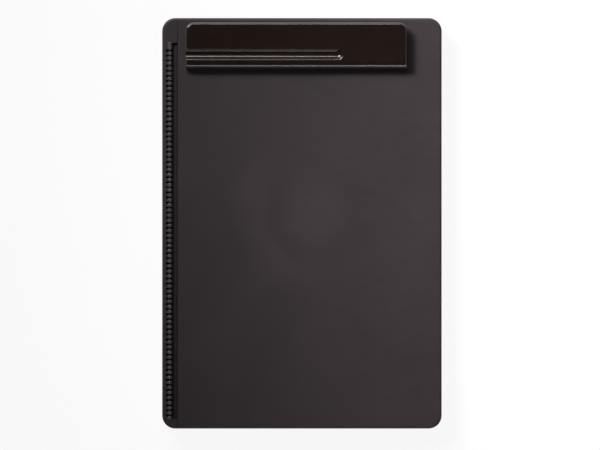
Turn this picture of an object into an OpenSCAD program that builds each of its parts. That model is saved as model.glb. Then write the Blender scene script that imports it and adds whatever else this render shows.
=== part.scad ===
// Storage clipboard box: a shallow tray whose hinged lid is the writing board,
// with a wide low clip at its head. It lies on its back. X runs across the board,
// Y towards the clip end and Z up, and the origin is the middle of the back.

/* [Case] */
// Width of the closed box
case_w = 233.5; // [215:0.5:260]
// Length of the closed box
case_l = 343; // [300:0.5:400]
// Height from the back to the board face
case_h = 20; // [18:0.5:40]
// Corner radius of the outline
corner_r = 11; // [8:0.1:14]
// Round on the outer edges of both faces
edge_r = 2; // [1:0.1:2.2]
// Thickness of the side walls
wall_t = 2.4; // [2.2:0.1:3]
// Thickness of the tray floor
floor_t = 2; // [1.6:0.1:3]
// Round where the tray floor meets the walls
floor_r = 1.6; // [1:0.1:3]

/* [Lid] */
// Thickness of the board panel
panel_t = 2.2; // [2:0.1:3]
// Depth of the lid from the board face to the parting line
skirt_h = 5; // [4.5:0.1:8]
// Height of the lap where the lid's skirt covers the tray's lip
lap_h = 2; // [1.5:0.1:2.5]
// Gap along the parting line
seam_gap = 0.2; // [0.15:0.05:0.3]
// Depth of the thumb scoop in the tray's opening side
scoop_d = 1.2; // [0.6:0.1:1.4]
// Radius that the thumb scoop is cut with
scoop_r = 60; // [30:1:90]
// Height of the thumb scoop below the parting line
scoop_h = 8; // [5:0.5:9]

/* [Hinge] */
// Distance from the hinge side of the case to the hinge axis
hinge_inset = 6.4; // [6:0.1:7.5]
// Depth of the hinge axis below the board face
hinge_drop = 1.3; // [1.2:0.05:1.4]
// Thickness of the tray's wall behind the hinge
spine_w = 3.2; // [2.8:0.1:3.4]
// Diameter of the tray's knuckles
knuckle_d = 4.2; // [3.6:0.1:4.4]
// Length of one tray knuckle
knuckle_l = 2.6; // [2.2:0.05:3]
// Round on the ends of the knuckles
knuckle_round = 0.6; // [0.2:0.1:0.9]
// Distance from one knuckle to the next, six to the inch
knuckle_pitch = 4.233; // [4:0.001:5]
// Diameter of the ring on the end of each lid finger
finger_d = 2.6; // [2.5:0.1:2.8]
// Side gap between a lid finger and the knuckles beside it
finger_gap = 0.25; // [0.2:0.05:0.3]
// Diameter of the hinge rod
rod_d = 1.4; // [1.2:0.1:1.5]
// Radial clearance of the rod in the tray's knuckles
rod_fit = 0.03; // [0.02:0.01:0.05]
// Radial clearance of the lid's fingers on the rod
finger_fit = 0.07; // [0.05:0.01:0.1]
// Length of the rod in its blind seat at the clip end
rod_seat = 4; // [2:0.5:8]
// Depth of the rod's end inside the foot end of the case
rod_recess = 1.5; // [0.5:0.1:3]
// Distance from the clip end of the case to the hinge slot
slot_from_clip = 20.8; // [18:0.1:40]
// Distance from the foot end of the case to the hinge slot
slot_from_foot = 8; // [7.5:0.1:30]
// Length of the long end knuckle at the clip end of the slot
end_knuckle_l = 5.6; // [3:0.1:8]
// Thickness of the sunk tongue that carries the lid's fingers
tongue_t = 1.8; // [1.6:0.1:2.4]
// Gap that the tongue and lid edge keep from the spine when folded back
fold_gap = 0.3; // [0.25:0.05:0.5]

/* [Clip] */
// Width of the clip lever along its jaw
clip_w = 184.5; // [150:0.1:200]
// Depth of the clip lever from its rear edge to its jaw
clip_l = 38.3; // [38:0.1:45]
// Height of the clip's top above the board
clip_h = 10; // [9.5:0.1:14]
// Distance from the hinge side of the case to the clip
clip_from_side = 19.6; // [16:0.1:30]
// Distance from the clip end of the case to the clip
clip_from_end = 4.1; // [3:0.1:12]
// Corner radius at the two rear corners of the clip
clip_corner_r = 6.8; // [3:0.1:8]
// Round along the top edges of the clip at its rear and ends
clip_edge_r = 2.1; // [1:0.1:2.4]
// Round of the clip's nose above the jaw
nose_r = 6; // [3:0.1:6]
// Thickness of the wall behind the nose
nose_t = 3; // [2.4:0.1:3.4]
// Wall thickness of the clip lever
clip_skin = 2; // [1.6:0.1:2.4]
// Height of the lever's rear edge above the board
rear_lift = 6.2; // [5.8:0.1:6.5]
// Height of the end walls above the board, which clears a pad of paper
side_lift = 3.6; // [3:0.1:4]
// Gap between the closed jaw and the board
jaw_gap = 0.3; // [0.2:0.05:0.5]
// Distance between the middles of neighbouring stiffening ribs
rib_pitch = 23; // [18:0.5:30]
// Thickness of the stiffening ribs
rib_t = 1.4; // [1:0.1:2]

/* [Pen groove] */
// Radius of the pen groove
groove_r = 4.6; // [4:0.1:4.7]
// Depth of the pen groove below the clip's top
groove_d = 2.8; // [2.6:0.1:3.4]
// Distance from the clip's rear edge to the middle of the groove
groove_back = 26.5; // [25:0.1:26.5]
// Length of the pen groove from the open end of the clip
groove_l = 131.5; // [80:0.1:160]
// Round along the lips of the groove
lip_r = 1.2; // [1:0.1:2.4]

/* [Pivot] */
// Distance from the clip's rear edge to the pivot axis
pivot_back = 14; // [13:0.1:15]
// Height of the pivot axis above the board
pivot_h = 4.3; // [4.2:0.1:4.6]
// Diameter of the pivot pins
pin_d = 2.5; // [2:0.1:2.8]
// Diameter of a pin's formed head
pin_head_d = 4.4; // [4:0.1:5]
// Height of a pin's formed head
pin_head_h = 1; // [0.6:0.1:1.4]
// Radial clearance of the lever on its pins
pivot_fit = 0.07; // [0.05:0.01:0.1]
// Radial clearance of the pins in the brackets
bracket_fit = 0.03; // [0.02:0.01:0.05]
// Distance between the middles of the two brackets
bracket_spacing = 92; // [70:0.5:110]
// Width of a bracket over its ears
bracket_w = 28; // [26:0.5:32]
// Length of a bracket's base plate
bracket_l = 18; // [17:0.5:19]
// Thickness of the bracket steel
bracket_t = 1; // [0.8:0.1:1.2]
// Radius of the top of a bracket's ears
ear_r = 3; // [2.6:0.1:3.1]
// Thickness of a lever ear
lever_ear_t = 3; // [2:0.1:3.2]
// Radius of the foot of a lever ear
lever_ear_r = 3.1; // [2.6:0.1:3.3]
// Side gap between a lever ear and the bracket ear beside it
ear_gap = 0.4; // [0.3:0.05:0.5]

/* [Spring] */
// Diameter of the spring wire
wire_d = 1.1; // [0.9:0.1:1.2]
// Mean diameter of the spring coils
coil_d = 4.9; // [4.8:0.05:5]
// Whole turns in each spring, before the last half turn
coil_turns = 5; // [3:1:5]
// Distance from one turn to the next
coil_pitch = 1.6; // [1.55:0.01:1.7]
// Length of each straight spring leg
leg_l = 7; // [4:0.5:7.5]

/* [Rivets] */
// Diameter of a rivet shank
rivet_d = 3.2; // [2.6:0.1:3.6]
// Diameter of a rivet's heads
rivet_head_d = 5.6; // [5:0.1:6]
// Height of a rivet's head on the bracket
rivet_head_h = 1.2; // [0.8:0.1:1.4]
// Height of a rivet's closed end inside the lid
rivet_tail_h = 0.8; // [0.6:0.1:1.2]
// Distance between the two rivets of a bracket
rivet_spacing = 14; // [12:0.5:16]
// Distance from the jaw end of the base plate to the rivets
rivet_inset = 3.5; // [3.2:0.1:3.8]
// Diameter of the backing washers
washer_d = 9; // [7:0.5:11]
// Thickness of the backing washers
washer_t = 0.5; // [0.4:0.1:0.8]
// Radial clearance round a rivet shank
rivet_fit = 0.1; // [0.05:0.05:0.2]

/* [Hidden] */
$fn = 64;
// Overlap that joins solids of one piece, and the reach of cuts that run right out of it
join = 0.5;
far = 1000;

x_left = -case_w / 2;
x_right = case_w / 2;
y_clip = case_l / 2;
y_foot = -case_l / 2;
split_z = case_h - skirt_h;
// The lap shares the wall between the lid's skirt and the tray's lip
lap_t = (wall_t - seam_gap) / 2;

axis_x = x_left + hinge_inset;
axis_z = case_h - hinge_drop;
knuckle_r = knuckle_d / 2;
rod_r = rod_d / 2;
spine_x = x_left + spine_w;
// The spine ends as far right of the axis as it starts left of it
spine_end_x = axis_x + hinge_inset;
lid_x = spine_end_x + fold_gap;
tongue_x = axis_x + knuckle_r + finger_gap;
tongue_z = axis_z - hinge_drop - fold_gap;
slot_y1 = y_clip - slot_from_clip;
slot_y0 = y_foot + slot_from_foot;
knuckle_space = knuckle_pitch - knuckle_l;
// The short knuckle at the foot end is never shorter than the case's edge round
foot_knuckle_min = 2;
knuckle_n = floor((slot_y1 - slot_y0 - end_knuckle_l - knuckle_space - foot_knuckle_min)
                  / knuckle_pitch);
first_space_y = slot_y1 - end_knuckle_l - knuckle_space / 2;
last_space_y = first_space_y - knuckle_n * knuckle_pitch;
// Plastic under the rod where the spine's shelves hold it
rod_cover = 1.4;
shelf_t = hinge_drop + rod_r + rod_cover;
// Reach of a knuckle's gusset below the hinge axis
gusset_h = 4.2;

clip_x = x_left + clip_from_side + clip_w / 2;
clip_x0 = clip_x - clip_w / 2;
clip_rear_y = y_clip - clip_from_end;
clip_jaw_y = clip_rear_y - clip_l;
clip_top = case_h + clip_h;
pivot_y = clip_rear_y - pivot_back;
pivot_z = case_h + pivot_h;
pin_r = pin_d / 2;
groove_y = clip_rear_y - groove_back;
groove_z = clip_top - groove_d + groove_r;
// Height under the groove's wall, where the ribs also end
groove_lift = clip_h - groove_d - clip_skin;
// The lips cut this far into the faces they round off, so that no two only touch
lip_bite = 0.02;
// The base plate ends just past the spring legs that rest on it
base_y1 = pivot_y + leg_l + bracket_t / 2;
base_y0 = base_y1 - bracket_l;
rivet_y = base_y0 + rivet_inset;
// Outer radius of the bends between a bracket's base plate and its ears
bend_r = 2 * bracket_t;
lever_ear_x = bracket_w / 2 - bracket_t - ear_gap - lever_ear_t;
coil_r = coil_d / 2;
wire_r = wire_d / 2;
// Heights of the leg ends about the pivot, just clear of the lever and the base plate
leg_gap = 0.3;
leg_high = clip_h - clip_skin - pivot_h - wire_r - leg_gap;
leg_low = bracket_t + wire_r + leg_gap - pivot_h;

// ---------- outlines and slabs ----------

// Half section of a slab: flat inside, its outer edges rounded by e0 below and e1 above
module edge_section(r, h, e0, e1) {
    difference() {
        square([r, h]);
        if (e0 > 0)
            difference() {
                translate([r - e0, -1]) square([e0 + 1, e0 + 1]);
                translate([r - e0, e0]) circle(e0);
            }
        if (e1 > 0)
            difference() {
                translate([r - e1, h - e1]) square([e1 + 1, e1 + 1]);
                translate([r - e1, h - e1]) circle(e1);
            }
    }
}

// One rounded corner and the straight side that follows it
module slab_side(side_l, reach, r, h, e0, e1) {
    translate([reach, 0, 0])
        rotate([90, 0, 0])
            linear_extrude(side_l, center = true)
                edge_section(r, h, e0, e1);
    translate([reach, side_l / 2, 0])
        rotate_extrude(angle = 90)
            edge_section(r, h, e0, e1);
}

// Slab w by l by h with corner radius r, centred on the origin and standing on z = 0
module rounded_slab(w, l, h, r, e0 = 0, e1 = 0) {
    wide = w - 2 * r;
    long = l - 2 * r;
    translate([-wide / 2, -long / 2, 0])
        cube([wide, long, h]);
    for (turn = [0, 180]) {
        rotate([0, 0, turn])
            slab_side(long, wide / 2, r, h, e0, e1);
        rotate([0, 0, turn + 90])
            slab_side(wide, long / 2, r, h, e0, e1);
    }
}

// Slab between two corners in plan
module slab_between(x0, y0, x1, y1, z, h, r, e0 = 0, e1 = 0) {
    translate([(x0 + x1) / 2, (y0 + y1) / 2, z])
        rounded_slab(x1 - x0, y1 - y0, h, r, e0, e1);
}

// The whole closed case as one solid
module case_form() {
    slab_between(x_left, y_foot, x_right, y_clip, 0, case_h, corner_r, edge_r, edge_r);
}

// The case's outline moved in by d, from z up by h
module inset_form(d, z, h) {
    slab_between(x_left + d, y_foot + d, x_right - d, y_clip - d, z, h, corner_r - d);
}

// Extrudes an XZ outline along Y, from y0 to y1
module along_y(y0, y1) {
    translate([0, y1, 0])
        rotate([90, 0, 0])
            linear_extrude(y1 - y0)
                children();
}

// Extrudes a YZ outline along X, from x0 to x1
module along_x(x0, x1) {
    translate([x0, 0, 0])
        rotate([90, 0, 90])
            linear_extrude(x1 - x0)
                children();
}

// Round bar along X or Y
module bar_x(r, x0, x1, y, z) {
    translate([x0, y, z]) rotate([0, 90, 0]) cylinder(r = r, h = x1 - x0);
}

module bar_y(r, y0, y1, x, z) {
    translate([x, y1, z]) rotate([90, 0, 0]) cylinder(r = r, h = y1 - y0);
}

// ---------- tray ----------

// Where the lid sits: everything above the parting line, less the lip it laps over
module lid_space() {
    difference() {
        translate([spine_end_x, -far / 2, split_z]) cube([far, far, far]);
        inset_form(wall_t - lap_t, split_z - 1, lap_h - seam_gap + 1);
    }
}

// Half section of a knuckle: a bored barrel with round ends
module knuckle_section(l) {
    difference() {
        union() {
            translate([0, -l / 2])
                square([knuckle_r - knuckle_round, l]);
            translate([0, knuckle_round - l / 2])
                square([knuckle_r, l - 2 * knuckle_round]);
            for (end = [-1, 1])
                translate([knuckle_r - knuckle_round, end * (l / 2 - knuckle_round)])
                    circle(knuckle_round);
        }
        translate([0, -l])
            square([rod_r + rod_fit, 2 * l]);
    }
}

// A knuckle from y0 to y1, on the gusset that carries it from the spine
module knuckle(y0, y1) {
    translate([axis_x, (y0 + y1) / 2, axis_z])
        rotate([90, 0, 0])
            rotate_extrude()
                knuckle_section(y1 - y0);
    along_y(y0, y1)
        difference() {
            knuckle_gusset();
            translate([axis_x, axis_z]) circle(rod_r + knuckle_round);
        }
}

// The row of knuckles, with a longer one at each end of the slot
module knuckle_row() {
    half = knuckle_space / 2;
    knuckle(first_space_y + half, slot_y1 + knuckle_round);
    for (i = [1 : knuckle_n])
        knuckle(first_space_y - i * knuckle_pitch + half,
                first_space_y - (i - 1) * knuckle_pitch - half);
    knuckle(slot_y0 - knuckle_round, last_space_y - half);
}

// Section of the gusset under a knuckle
module knuckle_gusset() {
    polygon([
        [spine_x - join, case_h],
        [axis_x, case_h],
        [axis_x, axis_z - knuckle_r],
        [spine_x - join, axis_z - gusset_h]
    ]);
}

// The shelves that carry the spine's top past each end of the hinge slot
module spine_shelves() {
    intersection() {
        case_form();
        for (span = [[y_foot, slot_y0], [slot_y1, y_clip]])
            translate([x_left, span[0], case_h - shelf_t])
                cube([spine_end_x - x_left, span[1] - span[0], shelf_t]);
    }
}

module tray_shell() {
    color("#35302f")
    difference() {
        union() {
            difference() {
                case_form();
                slab_between(spine_x, y_foot + wall_t, x_right - wall_t, y_clip - wall_t,
                             floor_t, case_h, corner_r - wall_t, floor_r);
            }
            spine_shelves();
            knuckle_row();
        }
        lid_space();
        for (span = [[y_foot - 1, last_space_y],
                     [first_space_y, slot_y1 + rod_seat + seam_gap]])
            bar_y(rod_r + rod_fit, span[0], span[1], axis_x, axis_z);
        translate([x_right + scoop_r - scoop_d, 0, split_z - scoop_h])
            cylinder(r = scoop_r, h = scoop_h + 1, $fn = 180);
    }
}

// ---------- lid ----------

// The trough beside the hinge: the spine's outline turned half round the hinge axis
module trough_section() {
    round_x = axis_x + hinge_inset - edge_r;
    round_z = axis_z - hinge_drop + edge_r;
    translate([axis_x - far, tongue_z]) square([far + hinge_inset - edge_r, far]);
    translate([round_x, round_z]) circle(edge_r + fold_gap);
    translate([round_x, round_z]) square([edge_r + fold_gap, far]);
}

// Sunk tongue from the board panel to the hinge
module tongue() {
    along_y(slot_y0 + finger_gap, slot_y1 - finger_gap)
        difference() {
            translate([tongue_x, tongue_z - tongue_t])
                square([lid_x + tongue_t - tongue_x,
                        case_h - panel_t / 2 - tongue_z + tongue_t]);
            trough_section();
        }
}

// Section of one lid finger: a ring on the rod and the neck that joins the tongue
module finger_section() {
    finger_r = finger_d / 2;
    difference() {
        union() {
            translate([axis_x, axis_z]) circle(finger_r);
            polygon([
                [axis_x + finger_r * cos(30), axis_z - finger_r * sin(30)],
                [tongue_x, tongue_z],
                [tongue_x + join, tongue_z - join],
                [tongue_x + join, tongue_z - tongue_t],
                [tongue_x, tongue_z - tongue_t],
                [axis_x, axis_z - finger_r]
            ]);
        }
        translate([axis_x, axis_z]) circle(rod_r + finger_fit);
    }
}

module finger_row() {
    half = knuckle_space / 2 - finger_gap;
    for (i = [0 : knuckle_n])
        along_y(first_space_y - i * knuckle_pitch - half,
                first_space_y - i * knuckle_pitch + half)
            finger_section();
}

module rivet_places() {
    for (side = [-1, 1], end = [-1, 1])
        translate([clip_x + side * bracket_spacing / 2 + end * rivet_spacing / 2,
                   rivet_y, case_h])
            children();
}

module lid_board() {
    color("#3a3436")
    difference() {
        union() {
            difference() {
                intersection() {
                    case_form();
                    translate([lid_x, -far / 2, split_z + seam_gap]) cube([far, far, far]);
                }
                slab_between(x_left - corner_r, y_foot + wall_t, x_right - wall_t,
                             y_clip - wall_t, 0, case_h - panel_t, corner_r - wall_t,
                             0, floor_r);
                slab_between(x_left - corner_r, y_foot + lap_t, x_right - lap_t,
                             y_clip - lap_t, 0, split_z + lap_h, corner_r - lap_t);
            }
            tongue();
            finger_row();
        }
        rivet_places()
            translate([0, 0, -panel_t - 1])
                cylinder(r = rivet_d / 2 + rivet_fit, h = panel_t + 2);
    }
}

module hinge_rod() {
    color("#77787a")
        bar_y(rod_r, y_foot + rod_recess, slot_y1 + rod_seat, axis_x, axis_z);
}

// ---------- clip lever ----------

// Outer block of the lever: large corners behind, square ends and a round nose at the jaw
module lever_block() {
    mid_y = clip_rear_y - clip_l / 2;
    base_z = case_h + jaw_gap;
    tall = clip_h - jaw_gap;
    intersection() {
        slab_between(clip_x0, clip_jaw_y, clip_x0 + clip_w, clip_rear_y,
                     base_z, tall, clip_corner_r, 0, clip_edge_r);
        translate([-far / 2, mid_y, 0]) cube([far, far, far]);
    }
    intersection() {
        slab_between(clip_x0, clip_jaw_y - clip_l, clip_x0 + clip_w, clip_rear_y,
                     base_z, tall, clip_corner_r, 0, clip_edge_r);
        along_x(clip_x0 - 1, clip_x0 + clip_w + 1) nose_side(mid_y);
    }
}

// Side view of the lever's jaw half, up to the line back_y
module nose_side(back_y) {
    nose_y = clip_jaw_y + nose_r;
    nose_z = clip_top - nose_r;
    translate([nose_y, nose_z]) circle(nose_r);
    translate([clip_jaw_y, 0]) square([back_y - clip_jaw_y, nose_z]);
    translate([nose_y, 0]) square([back_y - nose_y, clip_top + 1]);
}

// Side view of the space under the lever, up to a line that rises towards the rear
module under_lever(rear_z, side_z, jaw_z) {
    polygon([
        [clip_rear_y + 1, case_h - 1],
        [clip_rear_y + 1, case_h + rear_z],
        [clip_rear_y - clip_skin, case_h + rear_z],
        [pivot_y + lever_ear_r, case_h + side_z],
        [groove_y - groove_r, case_h + side_z],
        [clip_jaw_y + clip_skin, case_h + jaw_z],
        [clip_jaw_y + clip_skin, case_h - 1]
    ]);
}

// Section of the pen groove with its rounded lips, in Y and Z about the groove's middle
module groove_section() {
    lip_z = groove_d - groove_r - lip_r + lip_bite;
    lip_y = sqrt(pow(groove_r + lip_r - lip_bite, 2) - pow(lip_z, 2));
    circle(groove_r);
    difference() {
        polygon([
            [-lip_y, groove_r],
            [-lip_y, lip_z],
            [0, 0],
            [lip_y, lip_z],
            [lip_y, groove_r]
        ]);
        for (side = [-1, 1])
            translate([side * lip_y, lip_z]) circle(lip_r);
    }
}

// Pen groove, open at the hinge end of the clip and closed by a round end
module pen_groove() {
    end_x = clip_x0 + groove_l - groove_r;
    translate([0, groove_y, groove_z]) {
        along_x(clip_x0 - 1, end_x) groove_section();
        translate([end_x, 0, 0])
            rotate_extrude()
                intersection() {
                    groove_section();
                    translate([0, -far / 2]) square([far, far]);
                }
    }
}

// The wall under the pen groove, which follows it at the lever's own thickness
module groove_shell() {
    end_x = clip_x0 + groove_l - groove_r;
    bar_x(groove_r + clip_skin, clip_x0, end_x, groove_y, groove_z);
    translate([end_x, groove_y, groove_z]) sphere(groove_r + clip_skin);
}

function clear_of_brackets(x) = abs(abs(x) - bracket_spacing / 2) > bracket_w / 2 + rib_t;

// Stiffening ribs across the lever, left out where the brackets stand
module lever_ribs() {
    rib_n = floor((clip_w / 2 - clip_skin - rib_t) / rib_pitch);
    for (i = [-rib_n : rib_n])
        if (clear_of_brackets(i * rib_pitch))
            translate([clip_x + i * rib_pitch - rib_t / 2, clip_jaw_y, case_h])
                cube([rib_t, clip_l, clip_h]);
}

// Ears that hang from the lever's top and turn on the pins
module lever_ears() {
    for (side = [-1, 1], end = [-1, 1])
        translate([clip_x + side * bracket_spacing / 2 + end * (lever_ear_x + lever_ear_t / 2),
                   0, 0]) {
            bar_x(lever_ear_r, -lever_ear_t / 2, lever_ear_t / 2, pivot_y, pivot_z);
            translate([-lever_ear_t / 2, pivot_y - lever_ear_r, pivot_z])
                cube([lever_ear_t, 2 * lever_ear_r, clip_h - pivot_h - clip_skin / 2]);
        }
}

module clip_lever() {
    color("#1f1a18")
    difference() {
        union() {
            difference() {
                lever_block();
                along_x(clip_x0 - 1, clip_x0 + clip_w + 1)
                    under_lever(rear_lift, side_lift, jaw_gap);
                difference() {
                    translate([clip_x0 + clip_skin, clip_jaw_y + nose_t, case_h])
                        cube([clip_w - 2 * clip_skin, clip_l - clip_skin - nose_t,
                              clip_h - clip_skin]);
                    groove_shell();
                    difference() {
                        lever_ribs();
                        along_x(clip_x0, clip_x0 + clip_w)
                            under_lever(rear_lift, groove_lift, groove_lift);
                    }
                }
            }
            lever_ears();
        }
        pen_groove();
        for (side = [-1, 1])
            bar_x(pin_r + pivot_fit, clip_x + side * bracket_spacing / 2 - bracket_w / 2,
                  clip_x + side * bracket_spacing / 2 + bracket_w / 2, pivot_y, pivot_z);
    }
}

// ---------- brackets, pins, springs and rivets ----------

// U section of a bracket, with rounded bends
module bracket_section() {
    half_w = bracket_w / 2;
    difference() {
        union() {
            translate([-half_w + bend_r, 0]) square([bracket_w - 2 * bend_r, bend_r]);
            translate([-half_w, bend_r]) square([bracket_w, pivot_h + ear_r]);
            for (side = [-1, 1])
                translate([side * (half_w - bend_r), bend_r]) circle(bend_r);
        }
        translate([-half_w + bend_r, bracket_t]) square([bracket_w - 2 * bend_r, far]);
        translate([-half_w + bracket_t, bend_r]) square([bracket_w - 2 * bracket_t, far]);
        for (side = [-1, 1])
            translate([side * (half_w - bend_r), bend_r]) circle(bend_r - bracket_t);
    }
}

// Stamped steel bracket: base plate, two upturned ears, pin holes and rivet holes
module clip_bracket(side) {
    mid_x = clip_x + side * bracket_spacing / 2;
    flat_w = bracket_w - 2 * bend_r;
    color("#b9bcc0")
    difference() {
        union() {
            translate([mid_x - flat_w / 2, base_y0, case_h])
                cube([flat_w, bracket_l, bracket_t]);
            intersection() {
                translate([mid_x, 0, case_h])
                    along_y(pivot_y - ear_r, pivot_y + ear_r) bracket_section();
                union() {
                    bar_x(ear_r, mid_x - bracket_w, mid_x + bracket_w, pivot_y, pivot_z);
                    translate([mid_x - bracket_w, pivot_y - ear_r, case_h])
                        cube([2 * bracket_w, 2 * ear_r, pivot_h]);
                }
            }
        }
        bar_x(pin_r + bracket_fit, mid_x - bracket_w, mid_x + bracket_w, pivot_y, pivot_z);
        rivet_places()
            translate([0, 0, -1])
                cylinder(r = rivet_d / 2 + rivet_fit, h = bracket_t + 2);
    }
}

// Pivot pin with a formed head at each end
module clip_pin(side) {
    mid_x = clip_x + side * bracket_spacing / 2;
    reach = bracket_w / 2;
    color("#9a9da1") {
        bar_x(pin_r, mid_x - reach - pin_head_h, mid_x + reach + pin_head_h, pivot_y, pivot_z);
        bar_x(pin_head_d / 2, mid_x - reach - pin_head_h, mid_x - reach, pivot_y, pivot_z);
        bar_x(pin_head_d / 2, mid_x + reach, mid_x + reach + pin_head_h, pivot_y, pivot_z);
    }
}

// Middle line of the spring wire: rear leg, coils from top to bottom, rear leg
coil_steps = 8;
coil_rings = coil_turns * coil_steps + coil_steps / 2;
coil_len = coil_pitch * (coil_turns + 0.5);

function coil_point(i) =
    let (turn = 90 + 360 * i / coil_steps)
    [coil_len * (i / coil_rings - 0.5), coil_r * cos(turn), coil_r * sin(turn)];

wire_path = concat(
    [[-coil_len / 2, leg_l, leg_high], [-coil_len / 2, wire_d, coil_r]],
    [for (i = [0 : coil_rings]) coil_point(i)],
    [[coil_len / 2, wire_d, -coil_r], [coil_len / 2, leg_l, leg_low]]
);

// Least distance between wire surfaces a turn or more apart
coil_gap = min([for (i = [0 : coil_rings - coil_steps])
                for (j = [i + coil_steps - 2 : min(i + coil_steps + 2, coil_rings)])
                    norm(coil_point(i) - coil_point(j)) - wire_d]);
echo(coil_gap = coil_gap);

function unit(v) = v / norm(v);

function wire_direction(i) =
    unit(wire_path[min(i + 1, len(wire_path) - 1)] - wire_path[max(i - 1, 0)]);

// One ring of points square to the wire, its first point always towards the coil's side
function wire_ring(i, sides) =
    let (d = wire_direction(i),
         u = unit(cross(d, [1, 0, 0])),
         v = cross(d, u))
    [for (k = [0 : sides - 1])
        wire_path[i] + wire_r * (cos(360 * k / sides) * u + sin(360 * k / sides) * v)];

module spring_wire() {
    sides = 6;
    n = len(wire_path);
    polyhedron(
        points = [for (i = [0 : n - 1]) each wire_ring(i, sides)],
        faces = concat(
            [for (k = [1 : sides - 2]) [0, k, k + 1]],
            [for (i = [0 : n - 2], k = [0 : sides - 1])
                [i * sides + k, (i + 1) * sides + k, (i + 1) * sides + (k + 1) % sides]],
            [for (i = [0 : n - 2], k = [0 : sides - 1])
                [i * sides + k, (i + 1) * sides + (k + 1) % sides, i * sides + (k + 1) % sides]],
            [for (k = [1 : sides - 2])
                [(n - 1) * sides, (n - 1) * sides + k + 1, (n - 1) * sides + k]]
        )
    );
}

module clip_spring(side) {
    color("#8d8f92")
        translate([clip_x + side * bracket_spacing / 2, pivot_y, pivot_z])
            spring_wire();
}

module clip_rivets() {
    color("#a8abaf")
        rivet_places() {
            grip = bracket_t + panel_t + washer_t;
            translate([0, 0, -panel_t - washer_t])
                cylinder(r = rivet_d / 2, h = grip);
            translate([0, 0, bracket_t])
                cylinder(r = rivet_head_d / 2, h = rivet_head_h);
            translate([0, 0, -panel_t - washer_t - rivet_tail_h])
                cylinder(r = rivet_head_d / 2, h = rivet_tail_h);
        }
}

module rivet_washers() {
    color("#b4b6b8")
        rivet_places()
            translate([0, 0, -panel_t - washer_t])
                difference() {
                    cylinder(r = washer_d / 2, h = washer_t);
                    translate([0, 0, -1])
                        cylinder(r = rivet_d / 2 + rivet_fit, h = washer_t + 2);
                }
}

tray_shell();
lid_board();
hinge_rod();
clip_lever();
clip_bracket(-1);  // clip_bracket_left
clip_bracket(1);  // clip_bracket_right
clip_pin(-1);  // clip_pin_left
clip_pin(1);  // clip_pin_right
clip_spring(-1);  // clip_spring_left
clip_spring(1);  // clip_spring_right
clip_rivets();
rivet_washers();
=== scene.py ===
"""Looks for the storage clipboard box.

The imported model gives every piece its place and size. This file gives the three moulded
shells softened edges and their plastics, winds the springs, heads the rivets and sets up
the stage. All sizes are in metres unless a name says otherwise.
"""

import math

import bpy
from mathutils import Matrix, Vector


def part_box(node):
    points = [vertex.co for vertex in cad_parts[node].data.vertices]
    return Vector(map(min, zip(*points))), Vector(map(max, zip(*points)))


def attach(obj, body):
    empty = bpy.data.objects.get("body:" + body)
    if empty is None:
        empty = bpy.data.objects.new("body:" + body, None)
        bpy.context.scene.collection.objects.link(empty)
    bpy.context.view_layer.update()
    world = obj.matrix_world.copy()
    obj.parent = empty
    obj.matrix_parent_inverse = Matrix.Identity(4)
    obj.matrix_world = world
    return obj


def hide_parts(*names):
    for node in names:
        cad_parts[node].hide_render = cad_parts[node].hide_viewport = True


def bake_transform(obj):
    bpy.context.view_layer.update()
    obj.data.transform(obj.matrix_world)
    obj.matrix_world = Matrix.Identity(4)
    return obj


bl_info = {
    "name": "Storage clipboard box",
    "version": (1, 0, 0),
    "blender": (4, 5, 0),
    "location": "3D View > Sidebar > Clipboard Box",
    "description": "Dresses the packed clipboard box and lights it for its picture",
    "category": "Object",
}

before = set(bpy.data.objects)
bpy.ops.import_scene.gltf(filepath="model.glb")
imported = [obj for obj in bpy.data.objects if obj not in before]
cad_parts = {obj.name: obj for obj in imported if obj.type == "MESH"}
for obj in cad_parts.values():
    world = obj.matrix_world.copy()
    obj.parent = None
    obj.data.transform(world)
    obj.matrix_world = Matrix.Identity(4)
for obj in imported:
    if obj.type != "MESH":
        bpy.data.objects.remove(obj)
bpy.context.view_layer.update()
MM = 0.001

board_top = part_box("tray_shell")[0].z + 0.020
pin_low, pin_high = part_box("clip_pin_left")
pivot_y = (pin_low.y + pin_high.y) / 2
pivot_z = (pin_low.z + pin_high.z) / 2


# ---------- sizes and colours that a user would change ----------


class PlasticSettings(bpy.types.PropertyGroup):
    """The three moulded shells."""

    board_colour: bpy.props.StringProperty(
        name="Board colour", description="Colour of the board and tray, as sRGB hex", default="#3c3336"
    )
    clip_colour: bpy.props.StringProperty(
        name="Clip colour", description="Colour of the clip, as sRGB hex", default="#211611"
    )
    grain: bpy.props.FloatProperty(
        name="Grain", description="Size of the moulded texture", default=0.7 * MM, unit="LENGTH",
        precision=5,
    )
    board_roughness: bpy.props.FloatProperty(
        name="Board roughness", description="Roughness of the textured plastic", default=0.5, min=0.0,
        max=1.0,
    )
    clip_roughness: bpy.props.FloatProperty(
        name="Clip roughness", description="Roughness of the polished plastic", default=0.24, min=0.0,
        max=1.0,
    )
    crown_shine: bpy.props.FloatProperty(
        name="Crown shine", description="How much smoother the knuckles' crowns are", default=0.28,
        min=0.0, max=0.4,
    )
    # Painted shade: the trough colour is a darker colour put on the sunk trough at the hinge.
    trough_shade_colour: bpy.props.StringProperty(
        name="Trough colour", description="Colour of the sunk trough at the hinge, as sRGB hex",
        default="#241f20",
    )
    # Painted highlight: the crown colour is a paler colour put on the knuckles' crowns.
    crown_highlight_colour: bpy.props.StringProperty(
        name="Crown colour", description="Colour of the knuckles' rubbed crowns, as sRGB hex",
        default="#686061",
    )
    gate_place: bpy.props.FloatVectorProperty(
        name="Gate place", description="Where the melt entered under the board's face", size=2,
        default=(7.5 * MM, 8 * MM), unit="LENGTH", precision=4,
    )
    edge_round: bpy.props.FloatProperty(
        name="Edge round", description="Round that the mould leaves on sharp edges", default=0.12 * MM,
        unit="LENGTH", precision=5,
    )


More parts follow.
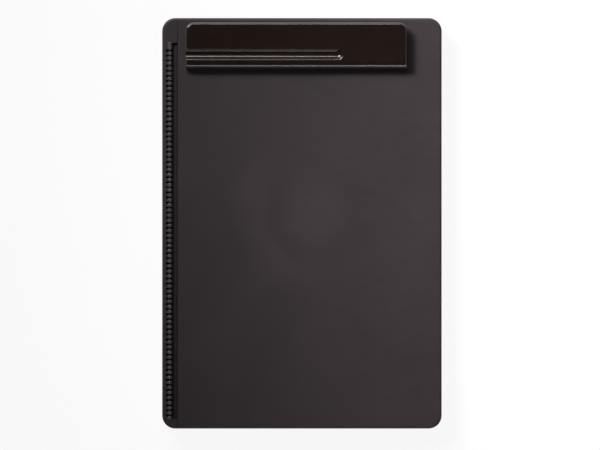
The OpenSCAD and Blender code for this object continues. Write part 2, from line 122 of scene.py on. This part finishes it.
class SpringSettings(bpy.types.PropertyGroup):
    """The two torsion springs under the clip."""

    wire: bpy.props.FloatProperty(
        name="Wire", description="Diameter of the spring wire", default=1.1 * MM, unit="LENGTH", precision=5
    )
    coil: bpy.props.FloatProperty(
        name="Coil", description="Mean diameter of the coils", default=4.9 * MM, unit="LENGTH", precision=5
    )
    turns: bpy.props.FloatProperty(
        name="Turns", description="Turns of wire in a spring", default=5.5, min=1.5, max=9.5
    )
    pitch: bpy.props.FloatProperty(
        name="Pitch", description="Distance from one turn to the next", default=1.6 * MM, unit="LENGTH",
        precision=5,
    )
    leg: bpy.props.FloatProperty(
        name="Leg", description="Length of the straight ends", default=7 * MM, unit="LENGTH", precision=5
    )


class RivetSettings(bpy.types.PropertyGroup):
    """The rivets that hold the clip's brackets."""

    shank: bpy.props.FloatProperty(
        name="Shank", description="Diameter of a rivet's shank", default=3.2 * MM, unit="LENGTH",
        precision=5,
    )
    head: bpy.props.FloatProperty(
        name="Head", description="Diameter of a rivet's heads", default=5.6 * MM, unit="LENGTH",
        precision=5,
    )
    head_rise: bpy.props.FloatProperty(
        name="Head rise", description="Height of the upper head", default=1.2 * MM, unit="LENGTH",
        precision=5,
    )
    tail_rise: bpy.props.FloatProperty(
        name="Tail rise", description="Height of the closed end", default=0.8 * MM, unit="LENGTH",
        precision=5,
    )


class StageSettings(bpy.types.PropertyGroup):
    """Camera and studio."""

    camera_height: bpy.props.FloatProperty(
        name="Camera height", description="Height of the camera above the board", default=6.0, unit="LENGTH"
    )
    picture_width: bpy.props.FloatProperty(
        name="Picture width", description="Width of the view on the board's face", default=0.5011,
        unit="LENGTH", precision=4,
    )
    view_centre: bpy.props.FloatVectorProperty(
        name="View centre", description="Point of the board that the camera looks at", size=2,
        default=(-0.0016, -0.0014), unit="LENGTH", precision=4,
    )
    key_power: bpy.props.FloatProperty(
        name="Key power", description="Power of the softbox at the upper left", default=6.4, min=0.0,
        unit="POWER",
    )
    strip_power: bpy.props.FloatProperty(
        name="Strip power", description="Power of the small softbox beyond the clip", default=3.6,
        min=0.0, unit="POWER",
    )
    card_power: bpy.props.FloatProperty(
        name="Card power", description="Power of the low lamp in front of the clip's jaw", default=0.11,
        min=0.0, unit="POWER",
    )
    backdrop_colour: bpy.props.StringProperty(
        name="Backdrop colour", description="Colour of the floor, as sRGB hex", default="#f6f5f6"
    )


# ---------- helpers ----------


def linear(hex_colour):
    """Turn an sRGB hex colour into a linear colour with full alpha."""
    parts = [int(hex_colour[i : i + 2], 16) / 255 for i in (1, 3, 5)]
    return (*[p / 12.92 if p <= 0.04045 else ((p + 0.055) / 1.055) ** 2.4 for p in parts], 1.0)


def shaded(colour, share):
    """A linear colour darkened or lightened by this share."""
    return (*[part * share for part in colour[:3]], 1.0)


def per_metre(size):
    """Noise scale for a pattern of this size on Object coordinates."""
    return 1 / size


def add(tree, kind, settings=None, inputs=None):
    """Add one node; an input is a plain value or the output socket that feeds it."""
    node = tree.nodes.new(kind)
    node.location = (220 * len(tree.nodes), 0)
    for name, value in (settings or {}).items():
        setattr(node, name, value)
    for name, value in (inputs or {}).items():
        if isinstance(value, bpy.types.NodeSocket):
            tree.links.new(value, node.inputs[name])
        else:
            node.inputs[name].default_value = value
    return node


def new_material(name):
    """Make an empty node material and return it with its tree and shader."""
    material = bpy.data.materials.new(name)
    material.use_nodes = True
    tree = material.node_tree
    tree.nodes.clear()
    shader = add(tree, "ShaderNodeBsdfPrincipled")
    add(tree, "ShaderNodeOutputMaterial", inputs={"Surface": shader.outputs[0]})
    return material, tree, shader


def noise(tree, size, detail=2.0, stretch=(1, 1, 1)):
    """Noise of a real size on Object coordinates, drawn out along an axis if asked."""
    place = add(tree, "ShaderNodeTexCoord").outputs["Object"]
    turned = add(tree, "ShaderNodeMapping", inputs={"Vector": place, "Scale": stretch})
    return add(
        tree, "ShaderNodeTexNoise",
        inputs={"Vector": turned.outputs[0], "Scale": per_metre(size), "Detail": detail},
    ).outputs["Fac"]


def spread(tree, value, low, high):
    """Map the useful middle of a noise to a range."""
    return add(
        tree, "ShaderNodeMapRange",
        inputs={"Value": value, "From Min": 0.3, "From Max": 0.7, "To Min": low, "To Max": high},
    ).outputs[0]


def beyond(tree, axis, start, depth):
    """Zero up to this place along an axis and one from a depth past it."""
    place = add(tree, "ShaderNodeTexCoord").outputs["Object"]
    along = add(tree, "ShaderNodeSeparateXYZ", inputs={"Vector": place}).outputs[axis]
    return add(
        tree, "ShaderNodeMapRange",
        inputs={"Value": along, "From Min": start, "From Max": start + depth, "To Min": 0.0, "To Max": 1.0},
    ).outputs[0]


def blend(tree, share, first, second):
    """Colour between two colours."""
    return add(
        tree, "ShaderNodeMix", {"data_type": "RGBA", "clamp_factor": False},
        {"Factor": share, 6: first, 7: second},
    ).outputs[2]


def curve(tree, value, stops):
    """Grey level that follows these stops of place and level."""
    node = add(tree, "ShaderNodeValToRGB", inputs={"Fac": value})
    points = node.color_ramp.elements
    for place, level in stops[1:-1]:
        points.new(place).color = (level, level, level, 1)
    for point, (place, level) in zip((points[0], points[-1]), (stops[0], stops[-1])):
        point.position = place
        point.color = (level, level, level, 1)
    return node.outputs["Color"]


def dress(thing, material):
    """Give an object this one material."""
    thing.data.materials.clear()
    thing.data.materials.append(material)


def link(thing):
    bpy.context.scene.collection.objects.link(thing)
    return thing


def baked(thing, name):
    """The evaluated object as a plain mesh object of its own."""
    bpy.context.view_layer.update()
    graph = bpy.context.evaluated_depsgraph_get()
    mesh = bpy.data.meshes.new_from_object(thing.evaluated_get(graph))
    mesh.name = name
    bpy.data.objects.remove(thing)
    return link(bpy.data.objects.new(name, mesh))


def softened(node_name, piece_name, width, material):
    """Copy a shell, join its loose triangles and round its sharp edges."""
    copy = link(bpy.data.objects.new(piece_name + "_draft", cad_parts[node_name].data.copy()))
    copy.data.shade_smooth()
    weld = copy.modifiers.new("Weld", "WELD")
    weld.merge_threshold = 0.002 * MM
    bevel = copy.modifiers.new("Bevel", "BEVEL")
    bevel.width = width
    bevel.segments = 2
    bevel.limit_method = "ANGLE"
    bevel.angle_limit = math.radians(40)
    bevel.use_clamp_overlap = True
    weigh = copy.modifiers.new("Weighted normal", "WEIGHTED_NORMAL")
    weigh.weight = 100
    piece = baked(copy, piece_name)
    dress(piece, material)
    return piece


# ---------- materials ----------


def gate_mark(tree, gate):
    """Pale cloud where the melt entered, with part of a ring at its lower left.

    A large noise draws both out of round by up to half of drift. The stops of the cloud
    and the ring give the distance from the gate in metres, then the strength.
    """
    drift = 30 * MM
    ring_way = (-0.9, -0.44, 0.0)
    place = add(tree, "ShaderNodeTexCoord").outputs["Object"]
    warp = add(
        tree, "ShaderNodeTexNoise", inputs={"Vector": place, "Scale": per_metre(70 * MM), "Detail": 2.0}
    )
    bent = add(
        tree, "ShaderNodeVectorMath", {"operation": "MULTIPLY_ADD"},
        {0: warp.outputs["Color"], 1: (drift, drift, 0.0), 2: place},
    )
    offset = add(
        tree, "ShaderNodeVectorMath", {"operation": "SUBTRACT"},
        {0: bent.outputs[0], 1: (gate[0] + drift / 2, gate[1] + drift / 2, gate[2])},
    ).outputs[0]
    away = add(tree, "ShaderNodeVectorMath", {"operation": "LENGTH"}, {0: offset}).outputs["Value"]
    lean = add(
        tree, "ShaderNodeVectorMath", {"operation": "DOT_PRODUCT"}, {0: offset, 1: ring_way}
    ).outputs["Value"]
    side = add(
        tree, "ShaderNodeMapRange",
        inputs={"Value": lean, "From Min": 0.0, "From Max": 40 * MM, "To Min": 0.0, "To Max": 1.0},
    ).outputs[0]
    cloud = curve(tree, away, ((0.0, 0.85), (0.014, 0.95), (0.022, 0.75), (0.033, 0.15), (0.042, 0.0)))
    ring = curve(tree, away, ((0.034, 0.0), (0.046, 0.8), (0.053, 0.7), (0.07, 0.0)))
    return add(
        tree, "ShaderNodeMath", {"operation": "MULTIPLY_ADD"}, {0: ring, 1: side, 2: cloud}
    ).outputs[0]


def textured_abs(name, settings, gate=None, trough_x=None, crowns=False):
    """ABS, injection moulded against a spark-eroded mould.

    The eye gets a satin black with a fine even grain, a faint cloudiness, and a
    slightly paler mark where the melt entered. The crowns of the hinge knuckles
    stand above the board, so handling has rubbed them smoother; they also get a
    paler colour, which is a painted highlight. The sunk trough beside them, up to
    its wall at trough_x, gets a darker colour, which is painted shade.
    """
    material, tree, shader = new_material(name)
    base = linear(settings.board_colour)
    darker = shaded(base, 0.9)
    lighter = shaded(base, 1.12)
    tint = spread(tree, noise(tree, 60 * MM, 3.0), 0.0, 1.0)
    if gate:
        mark_strength = 1.7
        mark = add(
            tree, "ShaderNodeMath", {"operation": "MULTIPLY"},
            {0: beyond(tree, "Z", board_top - 1 * MM, 0.5 * MM), 1: gate_mark(tree, gate)},
        ).outputs[0]
        tint = add(
            tree, "ShaderNodeMath", {"operation": "MULTIPLY_ADD"}, {0: mark, 1: mark_strength, 2: tint}
        ).outputs[0]
    colour = blend(tree, tint, darker, lighter)
    # Painted shade: left of the trough wall the board takes the darker trough colour.
    if trough_x is not None:
        wall = beyond(tree, "X", trough_x, 0.4 * MM)
        colour = blend(tree, wall, linear(settings.trough_shade_colour), colour)
    grain = noise(tree, settings.grain, 2.0)
    bump = add(
        tree, "ShaderNodeBump", inputs={"Height": grain, "Strength": 0.35, "Distance": 0.04 * MM}
    )
    rub = spread(tree, noise(tree, 9 * MM, 4.0, (1, 3, 1)), -0.05, 0.05)
    rough = add(
        tree, "ShaderNodeMath", {"operation": "ADD"}, {0: rub, 1: settings.board_roughness}
    ).outputs[0]
    # The crowns above the board get a lower roughness (wear) and a paler colour, which is a painted
    # highlight.
    if crowns:
        worn = beyond(tree, "Z", board_top, 0.3 * MM)
        rough = add(
            tree, "ShaderNodeMath", {"operation": "MULTIPLY_ADD"},
            {0: worn, 1: -settings.crown_shine, 2: rough},
        ).outputs[0]
        colour = blend(tree, worn, colour, linear(settings.crown_highlight_colour))
    tree.links.new(colour, shader.inputs["Base Color"])
    tree.links.new(rough, shader.inputs["Roughness"])
    tree.links.new(bump.outputs[0], shader.inputs["Normal"])
    shader.inputs["IOR"].default_value = 1.54
    return material


def polished_abs(name, settings):
    """ABS, injection moulded in a polished mould and lacquered.

    The eye gets a deep warm black with clear highlights, and hairlines along the clip
    where hands and pens have passed. The hairlines are drawn wider than real ones.
    """
    material, tree, shader = new_material(name)
    base = linear(settings.clip_colour)
    hair = noise(tree, 0.5 * MM, 3.0, (0.04, 1, 1))
    worn = spread(tree, noise(tree, 14 * MM, 3.0), 0.95, 1.05)
    rough = add(
        tree, "ShaderNodeMath", {"operation": "MULTIPLY"}, {0: worn, 1: settings.clip_roughness}
    ).outputs[0]
    bump = add(
        tree, "ShaderNodeBump", inputs={"Height": hair, "Strength": 0.012, "Distance": 0.01 * MM}
    )
    shade = spread(tree, noise(tree, 22 * MM, 2.0), 0.0, 1.0)
    colour = blend(tree, shade, shaded(base, 0.85), shaded(base, 1.15))
    tree.links.new(colour, shader.inputs["Base Color"])
    tree.links.new(rough, shader.inputs["Roughness"])
    tree.links.new(bump.outputs[0], shader.inputs["Normal"])
    shader.inputs["IOR"].default_value = 1.54
    shader.inputs["Coat Weight"].default_value = 0.8
    shader.inputs["Coat Roughness"].default_value = 0.12
    return material


def steel(name, colour, roughness, grain, stretch, depth):
    """Plated or drawn steel: a bright metal with fine lines the way it was worked."""
    material, tree, shader = new_material(name)
    lines = noise(tree, grain, 3.0, stretch)
    base = linear(colour)
    tone = blend(tree, spread(tree, lines, 0.0, 1.0), shaded(base, 0.85), base)
    bump = add(tree, "ShaderNodeBump", inputs={"Height": lines, "Strength": 0.3, "Distance": depth})
    tree.links.new(tone, shader.inputs["Base Color"])
    tree.links.new(
        spread(tree, noise(tree, 6 * MM, 3.0), roughness * 0.8, roughness * 1.2), shader.inputs["Roughness"]
    )
    tree.links.new(bump.outputs[0], shader.inputs["Normal"])
    shader.inputs["Metallic"].default_value = 1.0
    return material


def zinc_plated():
    """Stamped sheet steel, zinc plated: pale, slightly blue, with faint rolling lines."""
    return steel("zinc_plated_steel", "#c3c7cb", 0.34, 0.6 * MM, (1, 0.06, 1), 0.01 * MM)


def drawn_wire(name, stretch):
    """Drawn spring wire: darker grey with lines along the wire."""
    return steel(name, "#8b8d90", 0.3, 0.25 * MM, stretch, 0.006 * MM)


# ---------- geometry node trees ----------


def new_tree(name, inputs):
    """Make a geometry tree with these named inputs and return it with its ends."""
    tree = bpy.data.node_groups.new(name, "GeometryNodeTree")
    tree.interface.new_socket("Geometry", in_out="INPUT", socket_type="NodeSocketGeometry")
    for label, kind in inputs:
        tree.interface.new_socket(label, in_out="INPUT", socket_type=kind)
    tree.interface.new_socket("Geometry", in_out="OUTPUT", socket_type="NodeSocketGeometry")
    return tree, add(tree, "NodeGroupInput")


def grow(host, tree, values):
    """Run a tree on a host object with these named values."""
    modifier = host.modifiers.new(tree.name, "NODES")
    modifier.node_group = tree
    for item in tree.interface.items_tree:
        if item.in_out == "INPUT" and item.name in values:
            modifier[item.identifier] = values[item.name]


def points_object(name, places):
    """A host mesh of single points."""
    mesh = bpy.data.meshes.new(name)
    mesh.from_pydata(places, [], [])
    return link(bpy.data.objects.new(name, mesh))


def finish_tree(tree, shape, ends):
    """Close a tree: real geometry, its material, and the output."""
    real = add(tree, "GeometryNodeRealizeInstances", inputs={"Geometry": shape})
    dressed = add(
        tree, "GeometryNodeSetMaterial",
        inputs={"Geometry": real.outputs[0], "Material": ends.outputs["Material"]},
    )
    add(tree, "NodeGroupOutput", inputs={"Geometry": dressed.outputs[0]})


def spring_tree():
    """Torsion spring at each point: one wire from leg through coils to leg."""
    tree, ends = new_tree(
        "Torsion spring",
        [
            ("Wire", "NodeSocketFloat"), ("Coil radius", "NodeSocketFloat"), ("Turns", "NodeSocketFloat"),
            ("Pitch", "NodeSocketFloat"), ("Leg", "NodeSocketFloat"), ("Upper end", "NodeSocketFloat"),
            ("Lower end", "NodeSocketFloat"), ("Steps", "NodeSocketInt"),
            ("Material", "NodeSocketMaterial"),
        ],
    )

    def maths(operation, first, second=0.0, third=0.0, clamp=False):
        return add(
            tree, "ShaderNodeMath", {"operation": operation, "use_clamp": clamp},
            {0: first, 1: second, 2: third},
        ).outputs[0]

    index = add(tree, "GeometryNodeInputIndex").outputs[0]
    steps = ends.outputs["Steps"]
    radius = ends.outputs["Coil radius"]
    along = maths("DIVIDE", maths("SUBTRACT", index, 1.0), steps, clamp=True)
    angle = maths("MULTIPLY_ADD", maths("MULTIPLY", along, ends.outputs["Turns"]), math.tau, math.pi / 2)
    length = maths("MULTIPLY", ends.outputs["Turns"], ends.outputs["Pitch"])
    first = maths("LESS_THAN", index, 0.5)
    last = maths("GREATER_THAN", index, maths("ADD", steps, 1.5))
    reach = maths("MULTIPLY", maths("ADD", first, last), ends.outputs["Leg"])
    rise = maths(
        "ADD",
        maths("MULTIPLY", first, maths("SUBTRACT", ends.outputs["Upper end"], radius)),
        maths("MULTIPLY", last, maths("ADD", ends.outputs["Lower end"], radius)),
    )
    place = add(
        tree, "ShaderNodeCombineXYZ",
        inputs={
            "X": maths("MULTIPLY", maths("SUBTRACT", along, 0.5), length),
            "Y": maths("MULTIPLY_ADD", radius, maths("COSINE", angle), reach),
            "Z": maths("MULTIPLY_ADD", radius, maths("SINE", angle), rise),
        },
    )
    line = add(tree, "GeometryNodeCurvePrimitiveLine")
    points = add(
        tree, "GeometryNodeResampleCurve",
        inputs={"Curve": line.outputs[0], "Count": maths("ADD", steps, 3.0)},
    )
    route = add(
        tree, "GeometryNodeSetPosition",
        inputs={"Geometry": points.outputs[0], "Position": place.outputs[0]},
    )
    section = add(
        tree, "GeometryNodeCurvePrimitiveCircle",
        inputs={"Resolution": 12, "Radius": maths("MULTIPLY", ends.outputs["Wire"], 0.5)},
    )
    wire = add(
        tree, "GeometryNodeCurveToMesh",
        inputs={"Curve": route.outputs[0], "Profile Curve": section.outputs[0], "Fill Caps": True},
    )
    placed = add(
        tree, "GeometryNodeInstanceOnPoints",
        inputs={"Points": ends.outputs["Geometry"], "Instance": wire.outputs[0]},
    )
    finish_tree(tree, placed.outputs[0], ends)
    return tree


def rivet_tree():
    """Rivet at each point: shank, domed head above and set head below."""
    tree, ends = new_tree(
        "Rivet",
        [
            ("Shank radius", "NodeSocketFloat"), ("Head radius", "NodeSocketFloat"),
            ("Head rise", "NodeSocketFloat"), ("Tail rise", "NodeSocketFloat"), ("Grip", "NodeSocketFloat"),
            ("Material", "NodeSocketMaterial"),
        ],
    )
    ball = add(tree, "GeometryNodeMeshUVSphere", inputs={"Segments": 32, "Rings": 20, "Radius": 1.0})
    smooth = add(tree, "GeometryNodeSetShadeSmooth", inputs={"Geometry": ball.outputs[0]})
    parts = []
    for rise, sign in (("Head rise", 0.0), ("Tail rise", -1.0)):
        size = add(
            tree, "ShaderNodeCombineXYZ",
            inputs={
                "X": ends.outputs["Head radius"], "Y": ends.outputs["Head radius"], "Z": ends.outputs[rise],
            },
        )
        down = add(
            tree, "ShaderNodeMath", {"operation": "MULTIPLY"}, {0: ends.outputs["Grip"], 1: sign}
        )
        place = add(tree, "ShaderNodeCombineXYZ", inputs={"Z": down.outputs[0]})
        dome = add(
            tree, "GeometryNodeTransform",
            inputs={
                "Geometry": smooth.outputs[0], "Scale": size.outputs[0], "Translation": place.outputs[0],
            },
        )
        parts.append(dome.outputs[0])
    half_down = add(
        tree, "ShaderNodeMath", {"operation": "MULTIPLY"}, {0: ends.outputs["Grip"], 1: -0.5}
    )
    shank = add(
        tree, "GeometryNodeMeshCylinder",
        inputs={"Vertices": 32, "Radius": ends.outputs["Shank radius"], "Depth": ends.outputs["Grip"]},
    )
    sunk = add(
        tree, "GeometryNodeTransform",
        inputs={
            "Geometry": shank.outputs[0],
            "Translation": add(
                tree, "ShaderNodeCombineXYZ", inputs={"Z": half_down.outputs[0]}
            ).outputs[0],
        },
    )
    parts.append(sunk.outputs[0])
    whole = add(tree, "GeometryNodeJoinGeometry")
    for part in parts:
        tree.links.new(part, whole.inputs[0])
    placed = add(
        tree, "GeometryNodeInstanceOnPoints",
        inputs={"Points": ends.outputs["Geometry"], "Instance": whole.outputs[0]},
    )
    finish_tree(tree, placed.outputs[0], ends)
    return tree


# ---------- operators ----------


class CLIPBOX_OT_tray_and_board(bpy.types.Operator):
    """Round the edges of the tray and the board and give them their textured plastic."""

    bl_idname = "clipbox.tray_and_board"
    bl_label = "Tray and board"

    def execute(self, context):
        plastic = context.scene.clipbox_plastic
        skin = textured_abs("textured_abs_tray", plastic, crowns=True)
        tray = softened("tray_shell", "tray", plastic.edge_round, skin)
        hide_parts("tray_shell")
        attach(tray, "tray")
        gate = (*plastic.gate_place, board_top)
        rod_low, rod_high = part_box("hinge_rod")
        tray_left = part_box("tray_shell")[0].x
        trough_x = rod_low.x + rod_high.x - tray_left
        finish = textured_abs("textured_abs_board", plastic, gate, trough_x)
        board = softened("lid_board", "board", plastic.edge_round, finish)
        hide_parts("lid_board")
        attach(board, "lid")
        return {"FINISHED"}


class CLIPBOX_OT_clip(bpy.types.Operator):
    """Round the edges of the clip and give it its polished plastic."""

    bl_idname = "clipbox.clip"
    bl_label = "Clip"

    def execute(self, context):
        plastic = context.scene.clipbox_plastic
        finish = polished_abs("polished_abs_clip", plastic)
        clip = softened("clip_lever", "clip", plastic.edge_round, finish)
        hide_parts("clip_lever")
        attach(clip, "clip")
        return {"FINISHED"}


class CLIPBOX_OT_springs(bpy.types.Operator):
    """Wind the two torsion springs round their pins.

    Their lower legs rest on the brackets and their upper legs reach up under the clip.
    """

    bl_idname = "clipbox.springs"
    bl_label = "Springs"

    def execute(self, context):
        spring = context.scene.clipbox_spring
        centres = []
        for side in ("left", "right"):
            low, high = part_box("clip_pin_" + side)
            centres.append(((low.x + high.x) / 2, pivot_y, pivot_z))
        low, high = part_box("clip_spring_left")
        host = points_object("springs_draft", centres)
        grow(
            host, spring_tree(),
            {
                "Wire": spring.wire,
                "Coil radius": spring.coil / 2,
                "Turns": spring.turns,
                "Pitch": spring.pitch,
                "Leg": spring.leg,
                "Upper end": high.z - pivot_z - spring.wire / 2,
                "Lower end": low.z - pivot_z + spring.wire / 2,
                "Steps": int(spring.turns * 24),
                "Material": drawn_wire("drawn_spring_wire", (0.2, 1, 1)),
            },
        )
        springs = baked(host, "springs")
        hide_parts("clip_spring_left", "clip_spring_right")
        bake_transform(springs)
        return {"FINISHED"}


class CLIPBOX_OT_rivets(bpy.types.Operator):
    """Set the four domed rivets."""

    bl_idname = "clipbox.rivets"
    bl_label = "Rivets"

    def execute(self, context):
        rivet = context.scene.clipbox_rivet
        low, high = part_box("clip_rivets")
        row_y = (low.y + high.y) / 2
        top = high.z - rivet.head_rise
        grip = top - (low.z + rivet.tail_rise)
        places = []
        for side in ("left", "right"):
            plate_low, plate_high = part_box("clip_bracket_" + side)
            middle = (plate_low.x + plate_high.x) / 2
            reach = middle - low.x - rivet.head / 2 if side == "left" else high.x - rivet.head / 2 - middle
            places.extend([(middle - reach, row_y, top), (middle + reach, row_y, top)])
        host = points_object("rivets_draft", places)
        grow(
            host, rivet_tree(),
            {
                "Shank radius": rivet.shank / 2,
                "Head radius": rivet.head / 2,
                "Head rise": rivet.head_rise,
                "Tail rise": rivet.tail_rise,
                "Grip": grip,
                "Material": steel("nickel_plated_rivet", "#b9b6ae", 0.25, 0.4 * MM, (1, 1, 1), 0.005 * MM),
            },
        )
        rivets = baked(host, "rivets")
        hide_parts("clip_rivets")
        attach(rivets, "lid")
        return {"FINISHED"}


class CLIPBOX_OT_steel_parts(bpy.types.Operator):
    """Give the brackets, washers, pins and hinge rod their steels."""

    bl_idname = "clipbox.steel_parts"
    bl_label = "Steel parts"

    def execute(self, context):
        zinc = zinc_plated()
        turned = steel("turned_pin_steel", "#a9abad", 0.28, 0.3 * MM, (1, 0.1, 0.1), 0.005 * MM)
        rod = drawn_wire("drawn_hinge_rod", (1, 0.03, 1))
        for names, finish in (
            (("clip_bracket_left", "clip_bracket_right", "rivet_washers"), zinc),
            (("clip_pin_left", "clip_pin_right"), turned),
            (("hinge_rod",), rod),
        ):
            for name in names:
                dress(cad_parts[name], finish)
        return {"FINISHED"}


class CLIPBOX_OT_stage(bpy.types.Operator):
    """Build the floor, the lights, the world and the camera."""

    bl_idname = "clipbox.stage"
    bl_label = "Stage"

    def execute(self, context):
        stage = context.scene.clipbox_stage
        scene = context.scene
        scene.view_settings.view_transform = "Standard"
        self.floor(stage)
        self.world(scene)
        self.lamp(
            "key", stage.key_power, place=(-0.42, 0.70, 0.7), target=(1.46, -0.76, 0.0),
            sides=(0.47, 0.42), opening=74, matt_share=1.0,
        )
        self.lamp(
            "strip", stage.strip_power, place=(-0.10, 1.26, 1.30), target=(-0.04, 0.14, 0.02),
            sides=(0.60, 0.1), opening=180, matt_share=0.2,
        )
        self.lamp(
            "low_card", stage.card_power, place=(0.20, -0.75, 0.28), target=(0.02, 0.16, 0.03),
            sides=(0.7, 0.12), opening=26, matt_share=0.1,
        )
        self.camera(stage)
        return {"FINISHED"}

    def floor(self, stage):
        """Pale table that shows white to the camera and keeps the object's shadow."""
        half = 6.0
        glow_strength = 1.18
        glow_share = 0.85
        mesh = bpy.data.meshes.new("floor")
        mesh.from_pydata(
            [(-half, -half, 0), (half, -half, 0), (half, half, 0), (-half, half, 0)], [], [(0, 1, 2, 3)]
        )
        floor = link(bpy.data.objects.new("floor", mesh))
        material, tree, shader = new_material("painted_table")
        shader.inputs["Base Color"].default_value = linear(stage.backdrop_colour)
        shader.inputs["Roughness"].default_value = 0.9
        shader.inputs["Specular IOR Level"].default_value = 0.1
        seen = self.seen(tree)
        glow = add(
            tree, "ShaderNodeEmission",
            inputs={"Color": linear(stage.backdrop_colour), "Strength": glow_strength},
        )
        both = add(
            tree, "ShaderNodeMixShader",
            inputs={"Fac": glow_share, 1: shader.outputs[0], 2: glow.outputs[0]},
        )
        mix = add(
            tree, "ShaderNodeMixShader", inputs={"Fac": seen, 1: shader.outputs[0], 2: both.outputs[0]}
        )
        output = next(n for n in tree.nodes if n.type == "OUTPUT_MATERIAL")
        tree.links.new(mix.outputs[0], output.inputs["Surface"])
        dress(floor, material)

    def seen(self, tree):
        """One where the camera, a reflection or glass looks at the surface."""
        path = add(tree, "ShaderNodeLightPath")
        glossy = add(
            tree, "ShaderNodeMath", {"operation": "MAXIMUM"},
            {0: path.outputs["Is Camera Ray"], 1: path.outputs["Is Glossy Ray"]},
        )
        return add(
            tree, "ShaderNodeMath", {"operation": "MAXIMUM"},
            {0: glossy.outputs[0], 1: path.outputs["Is Transmission Ray"]},
        ).outputs[0]

    def world(self, scene):
        """White to the camera; for the rest dim, with a pale horizon beyond the clip end."""
        horizon = 2.3
        horizon_aside = 0.06
        overhead = 0.02
        for_matt = 0.03
        world = bpy.data.worlds.new("studio")
        world.use_nodes = True
        tree = world.node_tree
        tree.nodes.clear()
        ray = add(tree, "ShaderNodeLightPath")
        around = add(tree, "ShaderNodeTexCoord").outputs["Generated"]
        way = add(tree, "ShaderNodeSeparateXYZ", inputs={"Vector": around})
        glow = add(
            tree, "ShaderNodeMapRange",
            inputs={
                "Value": way.outputs["Y"], "From Min": 0.5, "From Max": 0.95, "To Min": horizon_aside,
                "To Max": horizon,
            },
        ).outputs[0]
        level = add(
            tree, "ShaderNodeMapRange",
            inputs={
                "Value": way.outputs["Z"], "From Min": 0.02, "From Max": 0.35, "To Min": glow,
                "To Max": overhead,
            },
        ).outputs[0]
        soft = add(
            tree, "ShaderNodeMix", {"data_type": "FLOAT"},
            {"Factor": ray.outputs["Is Diffuse Ray"], 2: level, 3: for_matt},
        ).outputs[0]
        strength = add(
            tree, "ShaderNodeMix", {"data_type": "FLOAT"},
            {"Factor": ray.outputs["Is Camera Ray"], 2: soft, 3: 1.0},
        ).outputs[0]
        back = add(
            tree, "ShaderNodeBackground", inputs={"Color": (1, 1, 1, 1), "Strength": strength}
        )
        add(tree, "ShaderNodeOutputWorld", inputs={"Surface": back.outputs[0]})
        scene.world = world

    def lamp(self, name, power, place, target, sides, opening, matt_share):
        """Softbox aimed at a point; the opening is the angle that its grid lets out.

        The matt share is how much of it matt surfaces take; shine takes all of it.
        """
        data = bpy.data.lights.new(name, "AREA")
        data.energy = power
        data.shape = "RECTANGLE"
        data.size, data.size_y = sides
        data.spread = math.radians(opening)
        data.diffuse_factor = matt_share
        lamp = link(bpy.data.objects.new(name, data))
        lamp.location = place
        lamp.rotation_euler = (Vector(target) - Vector(place)).to_track_quat("-Z", "Y").to_euler()

    def camera(self, stage):
        """Long lens straight above the board, with the clip end at the top."""
        data = bpy.data.cameras.new("camera")
        data.sensor_width = 36.0
        data.lens = data.sensor_width * stage.camera_height / stage.picture_width
        camera = link(bpy.data.objects.new("camera", data))
        camera.location = (*stage.view_centre, board_top + stage.camera_height)
        bpy.context.scene.camera = camera


class CLIPBOX_PT_panel(bpy.types.Panel):
    """Sidebar panel that lists the steps and their settings."""

    bl_label = "Clipboard box"
    bl_idname = "CLIPBOX_PT_panel"
    bl_space_type = "VIEW_3D"
    bl_region_type = "UI"
    bl_category = "Clipboard Box"

    def draw(self, context):
        for name in GROUPS:
            group = getattr(context.scene, name)
            box = self.layout.box()
            for key in group.__class__.__annotations__:
                box.prop(group, key)
        for step in STEPS:
            self.layout.operator(step.bl_idname)


GROUPS = {
    "clipbox_plastic": PlasticSettings,
    "clipbox_spring": SpringSettings,
    "clipbox_rivet": RivetSettings,
    "clipbox_stage": StageSettings,
}
STEPS = (
    CLIPBOX_OT_tray_and_board,
    CLIPBOX_OT_clip,
    CLIPBOX_OT_springs,
    CLIPBOX_OT_rivets,
    CLIPBOX_OT_steel_parts,
    CLIPBOX_OT_stage,
)


def register():
    for group in (*GROUPS.values(), *STEPS, CLIPBOX_PT_panel):
        bpy.utils.register_class(group)
    for name, group in GROUPS.items():
        setattr(bpy.types.Scene, name, bpy.props.PointerProperty(type=group))


def unregister():
    for name in GROUPS:
        delattr(bpy.types.Scene, name)
    for group in (CLIPBOX_PT_panel, *reversed(STEPS), *GROUPS.values()):
        bpy.utils.unregister_class(group)


def main():
    """Run every step in order."""
    register()
    for step in STEPS:
        category, name = step.bl_idname.split(".")
        getattr(getattr(bpy.ops, category), name)()


if __name__ == "__main__":
    main()
